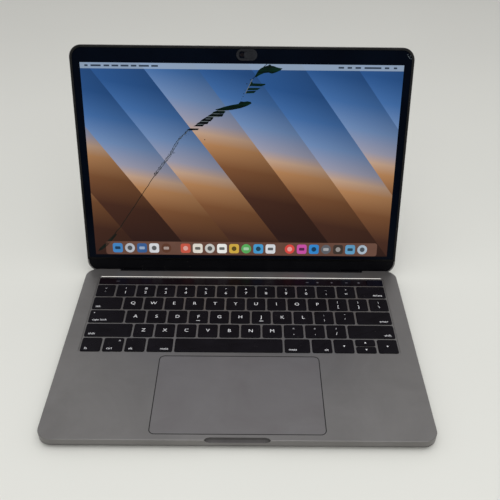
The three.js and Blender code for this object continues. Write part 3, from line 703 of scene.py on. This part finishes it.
def makeSealAndPaintedRim():
    half, top = lidFace["halfWidth"], lidFace["topEdge"]
    outer, band = sealAndPaintedRim["outer"], sealAndPaintedRim["inner"] - sealAndPaintedRim["outer"]
    ring = addBlock("sealAndPaintedRim", (outer - half, display["glassBottom"], -sealAndPaintedRim["depth"]),
                    (half - outer, top - outer, sealAndPaintedRim["proud"]))
    bevelEdges(ring, atLidTop, sealAndPaintedRim["corner"] - outer, 10)
    pickFaces(ring, lambda face: abs(face.normal.z) > 0.9)
    bpy.ops.mesh.inset(thickness=band, use_individual=True)
    bpy.ops.mesh.bridge_edge_loops()
    closeEdit()
    bevelEdges(ring, atHeight(sealAndPaintedRim["proud"]), sealAndPaintedRim["edge"], 3)
    pickFaces(ring, lambda face: face.center.y < display["glassBottom"] + band)
    bpy.ops.mesh.delete(type="FACE")  # no seal along the hinge
    closeEdit()
    pickEdges(ring, lambda a, b: False)
    bpy.ops.mesh.select_non_manifold()
    bpy.ops.mesh.edge_face_add()  # closes both cut ends
    closeEdit()
    smooth(toLid(ring))
    # real rubber seal, its widening over the rim is painted dark reflection
    finishPiece(ring, "lid", finish["sealRubber"], ["lid_gasket"])


borderBlack = borderMaterial()
makeDisplay()
makeSealAndPaintedRim()

# places on the lid, in millimetres
crack = {
    "path": [(-141, 20), (-129, 32), (-118, 44), (-112, 52.3), (-95.2, 76.3), (-82, 95.4), (-74.5, 105.1),
             (-67, 114.2), (-61.3, 124.2), (-57, 130), (-48.6, 137.7), (-40.3, 143), (-28.5, 151),
             (-20.4, 156.6), (-3.1, 161.3), (0.3, 167.4), (4.9, 176.7), (8, 181.6), (12, 185.5),
             (16, 190.4), (20, 194.3), (22, 195.6)],
    "patches": {
        "top": [(11.2, 184.7), (13.2, 188.4), (14.7, 190.7), (17.0, 192.4), (20.2, 193.8), (22.8, 194.4),
                (24.6, 195.6), (25.8, 194.4), (28.7, 193.9), (30.5, 193.1), (35.8, 192.1), (33.8, 190.4),
                (30.0, 188.7), (26.5, 187.6), (23.5, 188.5), (19.7, 188.1), (15.9, 186.5), (12.7, 184.6)],
        "upper": [(7.4, 180.4), (8.9, 180.6), (9.8, 179.3), (20.7, 179.0), (20.8, 178.0), (17.2, 176.8),
                  (8.0, 177.0), (5.9, 176.7)],
        "thin": [(5.3, 175.3), (16.6, 175.4), (13.7, 173.5), (4.4, 173.3)],
        "lower": [(4.2, 172.6), (12.8, 173.0), (10.7, 170.9), (3.3, 170.5)],
        "middle": [(-24.4, 156.2), (-19.1, 157.7), (-16.1, 158.8), (-9.3, 160.4), (-3.3, 161.4),
                   (-1.3, 163.6), (2.0, 163.3), (4.9, 163.8), (8.0, 163.2), (8.6, 161.9), (5.0, 159.8),
                   (-1.0, 157.7), (-9.3, 156.0), (-14.6, 155.5), (-22.1, 155.4)],
        "second": [(-26.0, 154.1), (-22.9, 155.2), (-16.1, 155.1), (-14.7, 154.4), (-16.7, 152.6),
                   (-27.7, 152.4)],
        "third": [(-30.2, 151.1), (-27.6, 152.4), (-16.5, 152.4), (-18.0, 150.0), (-31.6, 149.9)],
        "fourth": [(-36.4, 147.2), (-32.0, 149.8), (-25.9, 149.6), (-26.2, 148.2), (-28.7, 145.7),
                   (-38.2, 145.6)],
        "fifth": [(-40.7, 144.0), (-38.0, 145.5), (-30.1, 145.5), (-31.4, 143.2), (-41.8, 142.9)],
        "sixth": [(-44.3, 141.2), (-41.3, 142.9), (-34.1, 143.0), (-36.0, 141.1)],
        "tip": [(-50.8, 137.7), (-47.5, 139.3), (-39.4, 139.2), (-40.1, 137.9), (-47.5, 137.4)],
    },
    "streaks": [(-22.6, -15.4, 155.3, 0.22), (-27.6, -19.5, 152.5, 0.24), (-32.0, -20.5, 149.8, 0.36),
                (-33.6, -28.0, 147.9, 0.3), (-38.2, -30.0, 145.6, 0.26), (-41.4, -35.0, 143.0, 0.22)],
    "tail": [(-122.2, 38.1), (-128.6, 31.8), (-134.4, 27.1), (-139.5, 22.4), (-140.9, 19.8),
             (-136.7, 21.4), (-131.3, 25.6), (-127.1, 30.2), (-121.5, 37.0)],
    "scuffs": [(145.5, 204.7, 1.1), (146.3, 203.1, 1.4), (147.8, 203.7, 0.9), (147.5, 201.8, 1.2),
               (149.0, 201.2, 0.8)],
    "chips": [(4.3, 178.8, 0.5), (1.6, 170.2, 0.45), (0.9, 167.8, 0.4), (2.7, 173.4, 0.35),
              (7.4, 182.3, 0.4), (-0.3, 165.6, 0.3)],
    "paleLine": [(3.0, 170.4), (5.6, 175.7), (8.2, 181.2), (9.2, 182.8)],
    "deadSpot": (-34.2, 129.2, 0.5), "specks": 110, "lowerEnd": 100, "upperStart": 94,
    "upperEnd": 139, "topStart": 180, "greenStart": 148 * mm, "greenRise": 55.0,
}


def deadMaterial():
    material, tree, shader = freshMaterial("deadStreak")
    place = objectPlace(tree)
    split = newNode(tree, "ShaderNodeSeparateXYZ")
    tree.links.new(place, split.inputs[0])
    bands = newNode(tree, "ShaderNodeTexNoise", noise_dimensions="1D")
    bands.inputs["Scale"].default_value = 700
    bands.inputs["Detail"].default_value = 2
    tree.links.new(split.outputs[2], bands.inputs["W"])
    blotch = newNode(tree, "ShaderNodeTexNoise")
    blotch.inputs["Scale"].default_value = 110
    tree.links.new(place, blotch.inputs["Vector"])
    above = newMath(tree, "SUBTRACT", split.outputs[2], crack["greenStart"])
    high = newMath(tree, "MULTIPLY", above, crack["greenRise"], clamp=True)
    sea = newMath(tree, "MULTIPLY", newMath(tree, "MULTIPLY", blotch.outputs["Fac"], 1.7), high)
    green = newRamp(tree, sea, [(0.1, linear(4, 6, 12)), (0.95, linear(6, 44, 30))])
    tint = newRamp(tree, bands.outputs["Fac"], [(0.35, (0.35, 0.35, 0.35, 1)), (0.6, (1, 1, 1, 1))])
    tree.links.new(newMix(tree, 1.0, green, tint, "MULTIPLY"), shader.inputs["Emission Color"])
    shader.inputs["Emission Strength"].default_value = 0.7
    shader.inputs["Base Color"].default_value = linear(4, 6, 6)
    shader.inputs["Roughness"].default_value = 0.1
    shader.inputs["Specular IOR Level"].default_value = 0.06
    return material


def inMetres(points):
    return [(x * mm, u * mm) for x, u in points]


def ribbonOutline(path, width, shift, jitter, seed=3):
    chance = random.Random(seed)
    left, right = [], []
    for index, point in enumerate(path):
        before = Vector(path[max(index - 1, 0)])
        after = Vector(path[min(index + 1, len(path) - 1)])
        along = (after - before).normalized()
        side = Vector((-along.y, along.x))
        spot = Vector(point) + side * (shift + chance.uniform(-jitter, jitter))
        left.append(spot + side * width / 2)
        right.append(spot - side * width / 2)
    return inMetres(left + right[::-1])


def denser(path, step=4.0):
    points = []
    for (x0, y0), (x1, y1) in zip(path, path[1:]):
        count = max(1, round(math.hypot(x1 - x0, y1 - y0) / step))
        points += [(x0 + (x1 - x0) * k / count, y0 + (y1 - y0) * k / count) for k in range(count)]
    return points + [path[-1]]


def streakOutline(left, right, up, half):
    return inMetres([(left, up), (left + 0.9, up + half), (right - 1.3, up + half), (right, up),
                     (right - 0.9, up - half), (left + 1.4, up - half)])


def speckOutlines(path, count):
    chance = random.Random(21)
    for number in range(count):
        index = chance.randrange(len(path) - 1)
        start, end = Vector(path[index]), Vector(path[index + 1])
        along = (end - start).normalized()
        side = Vector((-along.y, along.x))
        middle = start.lerp(end, chance.random()) + side * chance.gauss(0, 0.9)
        length, width = chance.uniform(0.3, 1.1), chance.uniform(0.12, 0.36)
        corners = [along * length * a + side * width * chance.uniform(0.5, 1) * b
                   for a, b in ((-1, -0.4), (0.2, -1), (1, 0.3), (-0.2, 1))]
        yield inMetres([middle + corner for corner in corners])


def drawn(name, points, z=film):
    return cutOutline(name, points, film, z)


def makeDeadStreak():
    plates = [drawn("deadPatch", inMetres(outline)) for outline in crack["patches"].values()]
    dead = toLid(joinAll("deadStreak", plates))
    finishPiece(dead, "lid", deadMaterial())


def makeCrackLines(path, upper):
    lower = [p for p in path if p[1] < crack["lowerEnd"]]
    top = [p for p in path if p[1] > crack["topStart"]]
    lines = [drawn("crackLine", ribbonOutline(lower, 0.6, 0, 0.25)),
             drawn("crackLine", ribbonOutline(upper, 0.34, 0.6, 0.25, 5)),
             drawn("crackLine", ribbonOutline(upper[:-4], 0.34, -0.7, 0.25, 7)),
             drawn("crackLine", ribbonOutline(top, 0.5, 0.0, 0.2, 9))]
    lines += [drawn("crackSpeck", outline) for outline in speckOutlines(upper, crack["specks"])]
    for x, up, radius in crack["chips"] + [crack["deadSpot"]]:
        lines.append(addDisc("deadSpot", (x * mm, up * mm, film * 1.5), radius * mm, film, 7))
    lines.append(drawn("crackTail", inMetres(crack["tail"])))
    dark = toLid(joinAll("crackLines", lines))
    ink = glowMaterial("crackDark", linear(6, 9, 8), linear(28, 38, 30), 0.7)
    finishPiece(dark, "lid", ink)


def scuffOutlines():
    chance = random.Random(8)
    for x, up, length in crack["scuffs"]:
        lean = chance.uniform(-0.4, 0.4) * length
        yield inMetres([(x - lean, up + length / 2), (x + 0.4, up + 0.1), (x + lean, up - length / 2),
                        (x - 0.35, up - 0.1)])


# painted highlights: pale glowing glints along the crack and over the dead patches, and the corner scuffs,
# partly real wear, given the same painted glow
def makeCrackGlints(upper):
    above = 2 * film  # over the dead patches
    paleLine = ribbonOutline(denser(crack["paleLine"], 1.5), 0.55, 0, 0.1, 13)
    glints = [drawn("crackGlint", ribbonOutline(upper[2:], 0.3, -0.05, 0.2, 11)),
              drawn("crackGlint", paleLine, above)]
    glints += [drawn("paleStreak", streakOutline(*streak), above) for streak in crack["streaks"]]
    glints += [drawn("cornerScuffGlint", outline) for outline in scuffOutlines()]
    pale = toLid(joinAll("crackGlints", glints))
    shine = glowMaterial("crackPale", linear(126, 134, 140), linear(84, 96, 98), 0.8)
    finishPiece(pale, "lid", shine)


def makeCrack():
    path = denser(crack["path"])
    upper = [p for p in path if crack["upperStart"] < p[1] < crack["upperEnd"]]
    makeDeadStreak()
    makeCrackLines(path, upper)
    makeCrackGlints(upper)


makeCrack()

dock = {"left": -133 * mm, "right": 133 * mm, "bottom": 16.8 * mm, "top": 30.2 * mm, "corner": 2.4 * mm,
        "tile": 9.6 * mm, "tileCorner": 2.1 * mm, "pitch": 11.9 * mm, "first": -121.5 * mm,
        "groups": (5, 8, 7), "gap": 7 * mm, "round": 3, "discMark": 0.5, "barMark": (0.55, 0.3),
        "barCorner": 0.8 * mm, "paleFrom": 380}
tileColors = [(70, 140, 205), (188, 192, 200), (58, 96, 150), (220, 222, 226), (96, 60, 44),
              (205, 90, 70), (232, 226, 214), (206, 205, 200), (240, 240, 236), (215, 176, 70),
              (92, 178, 96), (72, 160, 214), (226, 228, 232), (222, 74, 66), (206, 84, 170),
              (52, 140, 214), (96, 98, 104), (62, 52, 46), (98, 160, 200), (176, 192, 206)]


def tilePlaces():
    x = dock["first"]
    for group in dock["groups"]:
        yield from (x + index * dock["pitch"] for index in range(group))
        x += group * dock["pitch"] + dock["gap"]


def markColor(color):
    if sum(color) > dock["paleFrom"]:
        return [c * 0.45 for c in color]  # dark mark on a pale tile
    return [min(255, c * 0.5 + 130) for c in color]


def makeTile(index, x, color):
    middle = (dock["bottom"] + dock["top"]) / 2
    half = dock["tile"] / 2
    low = 2 * film
    if index % dock["round"] == 1:
        tile = addDisc("dockTile", (x, middle, low + film / 2), half, film, 32)
    else:
        tile = roundedSlab("dockTile", (x - half, middle - half, low),
                           (x + half, middle + half, low + film), dock["tileCorner"], 5)
    if index % 2:
        mark = addDisc("dockMark", (x, middle, low + film * 1.5), half * dock["discMark"], film, 24)
    else:
        wide, tall = (half * share for share in dock["barMark"])
        mark = roundedSlab("dockMark", (x - wide, middle - tall, low + film),
                           (x + wide, middle + tall, low + 2 * film), dock["barCorner"], 3)
    shade = [c * 0.86 for c in color]
    inner = markColor(color)
    innerShade = [c * 0.9 for c in inner]
    face = glowMaterial("tileFace%d" % index, linear(*color), linear(*shade), 1.0, 60.0)
    ink = glowMaterial("tileMark%d" % index, linear(*inner), linear(*innerShade), 0.9, 60.0)
    tile.data.materials.append(face)
    mark.data.materials.append(ink)
    whole = toLid(joinAll("dockTile%02d" % (index + 1), [tile, mark]))
    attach(whole, "lid")


def makeDock():
    bar = roundedSlab("dockBar", (dock["left"], dock["bottom"], film),
                      (dock["right"], dock["top"], 2 * film), dock["corner"], 5)
    toLid(bar)
    glass = glowMaterial("dockGlass", linear(120, 86, 72), linear(98, 66, 54), 0.8, 20.0)
    finishPiece(bar, "lid", glass)
    for index, (x, color) in enumerate(zip(tilePlaces(), tileColors)):
        makeTile(index, x, color)


# bars for words: distance from the display's side and length, in millimetres
menu = {"height": 5.0 * mm, "half": 0.75 * mm, "corner": 0.4 * mm,
        "left": [(4, 3), (9.5, 9), (21, 5), (28, 6), (36, 7), (45, 5), (52, 9), (63, 6)],
        "right": [(6, 3), (13, 4), (20, 15), (38, 5), (46, 4), (53, 5)]}


def makeMenu():
    middle = display["bottom"] + display["height"] - menu["height"] / 2
    half, side = menu["half"], display["width"] / 2
    spans = [(start * mm - side, (start + length) * mm - side) for start, length in menu["left"]]
    spans += [(side - (start + length) * mm, side - start * mm) for start, length in menu["right"]]
    marks = [roundedSlab("menuMark", (left, middle - half, film), (right, middle + half, 2 * film),
                         menu["corner"], 3)
             for left, right in spans]
    bar = toLid(joinAll("menuMarks", marks))
    ink = glowMaterial("menuInk", linear(44, 56, 72), linear(62, 76, 94), 0.8)
    finishPiece(bar, "lid", ink)


makeDock()
makeMenu()
print("display done")

# camera behind the shutter's window
lens = {"x": 0.0, "up": 203.2 * mm, "radius": 1.7 * mm, "ring": 0.5 * mm}


def makeLens():
    ring = addDisc("webcamLens", (lens["x"], lens["up"], film), lens["radius"], 2 * film, 32)
    pickFaces(ring, lambda face: face.normal.z > 0.9)
    bpy.ops.mesh.inset(thickness=lens["ring"], depth=-film)
    closeEdit()
    toLid(ring)
    finishPiece(ring, "lid", finish["touchBlack"])


makeLens()

# faint marks on the touch strip
stripLow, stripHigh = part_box("touch_strip")
stripMarks = {"height": 2.9 * mm, "rise": 0.01 * mm, "wordIn": 18 * mm, "disc": 1.1 * mm,
              "bar": (1.3 * mm, 0.5 * mm), "corner": 0.3 * mm, "wedge": (1 * mm, 1.2 * mm),
              "icons": [(64, "bar"), (74, "disc"), (88, "wedge"), (102, "bar"), (114, "disc")]}


def makeStripIcon(kind, x, y, z):
    if kind == "disc":
        return addDisc("stripMark", (x, y, z), stripMarks["disc"], film)
    if kind == "wedge":
        back, ahead = stripMarks["wedge"]
        corners = [(x - back, y - ahead), (x + ahead, y), (x - back, y + ahead)]
        return cutOutline("stripMark", corners, film, z - film / 2)
    wide, tall = stripMarks["bar"]
    return roundedSlab("stripMark", (x - wide, y - tall, z - film / 2), (x + wide, y + tall, z + film / 2),
                       stripMarks["corner"], 3)


def makeStripMarks():
    middle = (stripLow[1] + stripHigh[1]) / 2
    z = stripHigh[2] + stripMarks["rise"]
    wordPlace = (stripLow[0] + stripMarks["wordIn"], middle, z)
    marks = [writeText("stripMark", "esc", stripMarks["height"], wordPlace)]
    marks += [makeStripIcon(kind, x * mm, middle, z) for x, kind in stripMarks["icons"]]
    strip = joinAll("stripMarks", marks)
    glow = glowMaterial("stripGlow", linear(104, 100, 106), linear(78, 76, 82), 0.7)
    finishPiece(strip, "base", glow)


makeStripMarks()

# polished facet on the chamfer behind the touch strip, with painted shadow on its lower part
wellEdge = {"halfWidth": 136.2 * mm, "rear": 198.4 * mm, "run": 0.8 * mm, "drop": 0.5 * mm,
            "thickness": 0.03 * mm, "litDepth": 0.26 * mm, "color": linear(206, 203, 198),
            "worn": linear(190, 187, 182), "shade": linear(10, 8, 10)}


def facetMaterial():
    look = dict(color=wellEdge["color"], worn=wellEdge["worn"], metallic=1.0, roughness=(0.12, 0.25),
                smudgeScale=60, grainScale=3000, bump=0.05)
    material = surfaceMaterial("polishedEdge", look)
    tree = material.node_tree
    base = tree.nodes["Principled BSDF"].inputs["Base Color"]
    split = newNode(tree, "ShaderNodeSeparateXYZ")
    tree.links.new(objectPlace(tree), split.inputs[0])
    # painted shadow: dark below, where the strip shades it
    lit = newMath(tree, "GREATER_THAN", split.outputs[2], deckZ - wellEdge["litDepth"])
    tree.links.new(newMix(tree, lit, wellEdge["shade"], base.links[0].from_socket), base)
    return material


def makeWellEdge():
    y = frontY + wellEdge["rear"]
    run, drop, thickness = wellEdge["run"], wellEdge["drop"], wellEdge["thickness"]
    half = wellEdge["halfWidth"]
    strip = addBlock("wellEdge", (-half, y, deckZ - 2 * drop), (half, y + run, deckZ + thickness))
    pickEdges(strip, lambda a, b: a.y < y + 1e-6 and b.y < y + 1e-6 and a.z > deckZ and b.z > deckZ)
    bpy.ops.transform.translate(value=(0, 0, -drop))
    closeEdit()
    finishPiece(strip, "base", facetMaterial())


# painted shade: dark lining laid over the thumb scoop, cut from the case's own hollow, standing for the
# shade in the recess
scoopShadeLiner = {"radius": 5 * mm, "halfWidth": 23.5 * mm, "ahead": 2.2 * mm, "above": 1.2 * mm,
              "thickness": 0.03 * mm, "slack": 0.1 * mm}


def makeScoopShadeLiner():
    deselectAll()
    case = frame["nodes"]["top_case"]
    liner = case.copy()
    liner.data = case.data.copy()
    bpy.context.collection.objects.link(liner)
    makeActive(liner)
    named("scoopShadeLiner")
    settle(liner)
    axisY, axisZ = frontY - scoopShadeLiner["ahead"], deckZ + scoopShadeLiner["above"]
    straight = scoopShadeLiner["halfWidth"] - scoopShadeLiner["radius"] / 2

    def inScoop(point):
        past = max(0, abs(point.x) - straight)
        reach = math.sqrt(past ** 2 + (point.y - axisY) ** 2 + (point.z - axisZ) ** 2)
        return abs(point.x) < 2 * straight and reach < scoopShadeLiner["radius"] + scoopShadeLiner["slack"]

    corners = liner.data.vertices
    pickFaces(liner, lambda face: not all(inScoop(corners[i].co) for i in face.vertices))
    bpy.ops.mesh.delete(type="FACE")
    closeEdit()
    thicken = liner.modifiers.new("thicken", "SOLIDIFY")
    thicken.thickness = scoopShadeLiner["thickness"]
    thicken.offset = 1
    bpy.ops.object.modifier_apply(modifier="thicken")
    print("scoop liner faces:", len(liner.data.polygons))
    finishPiece(liner, "base", finish["scoopPaintedShade"])


# painted shade: dark line round the trackpad, filling the joint where shade falls in the gap
padLow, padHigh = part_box("trackpad_glass")
padGapShade = {"gap": 0.62 * mm, "tuck": 0.05 * mm, "corner": 4 * mm, "depth": 0.6 * mm,
            "rise": 0.012 * mm}


def makePadGapShade():
    gap = padGapShade["gap"]
    top = deckZ + padGapShade["rise"]
    ring = roundedSlab("padGapShade", (padLow[0] - gap, padLow[1] - gap, top - padGapShade["depth"]),
                       (padHigh[0] + gap, padHigh[1] + gap, top), padGapShade["corner"] + gap, 8)
    pickFaces(ring, lambda face: abs(face.normal.z) > 0.9)
    bpy.ops.mesh.inset(thickness=gap + padGapShade["tuck"], use_individual=True)
    bpy.ops.mesh.bridge_edge_loops()
    closeEdit()
    # the rubber finish here paints the shade in the gap
    finishPiece(ring, "base", finish["sealRubber"])


makeWellEdge()
makeScoopShadeLiner()
makePadGapShade()
print("trim done")

# floor, light and camera
studio = {"floorColor": linear(226, 226, 220), "floorTint": linear(220, 220, 214),
          "floorFar": linear(190, 188, 184), "floorSize": 40, "floorDrop": 0.2 * mm,
          "fadePerMetre": 0.28, "worldTop": 0.68, "worldHorizon": 0.24,
          "backdrop": linear(206, 205, 201)}
panels = {"overheadPanel": dict(place=(0.05, -0.2, 1.5), aim=(0, 0, 0), size=(1.6, 1.2), power=6.4),
          "frontPanel": dict(place=(0.1, -0.75, 1.05), aim=(0, 0, 0.05), size=(1.0, 0.5), power=2.6),
          "fillPanel": dict(place=(0.1, -1.1, 1.05), aim=(0, -0.13, 0), size=(1.2, 0.3), power=1.5)}


def makeFloor():
    deselectAll()
    bpy.ops.mesh.primitive_plane_add(size=studio["floorSize"], location=(0, 0, -studio["floorDrop"]))
    floor = named("floor")
    material, tree, shader = freshMaterial("palePaper")
    noise = newNode(tree, "ShaderNodeTexNoise")
    noise.inputs["Scale"].default_value = 3
    place = objectPlace(tree)
    tree.links.new(place, noise.inputs["Vector"])
    paper = newMix(tree, noise.outputs["Fac"], studio["floorColor"], studio["floorTint"])
    split = newNode(tree, "ShaderNodeSeparateXYZ")
    tree.links.new(place, split.inputs[0])
    # painted shade: the floor's colour darkens towards the back
    far = newMath(tree, "MULTIPLY", split.outputs[1], studio["fadePerMetre"], clamp=True)
    tree.links.new(newMix(tree, far, paper, studio["floorFar"]), shader.inputs["Base Color"])
    shader.inputs["Roughness"].default_value = 0.9
    shader.inputs["Specular IOR Level"].default_value = 0.1
    floor.data.materials.append(material)


def makeWorld():
    world = bpy.data.worlds.new("studio")
    bpy.context.scene.world = world
    world.use_nodes = True
    tree = world.node_tree
    background = tree.nodes["Background"]
    coordinates = newNode(tree, "ShaderNodeTexCoord")
    split = newNode(tree, "ShaderNodeSeparateXYZ")
    tree.links.new(coordinates.outputs["Generated"], split.inputs[0])
    low, high = studio["worldHorizon"], studio["worldTop"]
    sky = newRamp(tree, split.outputs[2], [(0.0, (low, low, low, 1)), (0.55, (high, high, high, 1))])
    path = newNode(tree, "ShaderNodeLightPath")
    shown = newMix(tree, path.outputs["Is Camera Ray"], sky, studio["backdrop"])
    tree.links.new(shown, background.inputs["Color"])
    background.inputs["Strength"].default_value = 1.0


def addPanel(name, place, aim, size, power):
    deselectAll()
    bpy.ops.object.light_add(type="AREA", location=place)
    lamp = named(name)
    lamp.data.shape = "RECTANGLE"
    lamp.data.size, lamp.data.size_y = size
    lamp.data.energy = power
    lamp.rotation_euler = (Vector(aim) - Vector(place)).to_track_quat("-Z", "Y").to_euler()


photoView = {"place": (8.52 * mm, -458.52 * mm, 413.7 * mm), "turn": (50.595, -0.591, 0.003),
             "sensor": 36, "focalPixels": 672.5, "shiftPixels": (4.28, 46.66), "imagePixels": 500,
             "nearest": 10 * mm}


def makeCamera():
    deselectAll()
    turn = [math.radians(angle) for angle in photoView["turn"]]
    bpy.ops.object.camera_add(location=photoView["place"], rotation=turn)
    camera = named("photoCamera")
    pixels = photoView["imagePixels"]
    camera.data.sensor_fit = "HORIZONTAL"
    camera.data.sensor_width = photoView["sensor"]
    camera.data.lens = photoView["focalPixels"] / pixels * photoView["sensor"]
    camera.data.shift_x = -photoView["shiftPixels"][0] / pixels
    camera.data.shift_y = photoView["shiftPixels"][1] / pixels
    camera.data.clip_start = photoView["nearest"]
    bpy.context.scene.camera = camera


makeFloor()
makeWorld()
for name, panel in panels.items():
    addPanel(name, **panel)
makeCamera()
bpy.context.scene.view_settings.view_transform = "Standard"
print("stage done")

bpy.context.view_layer.update()
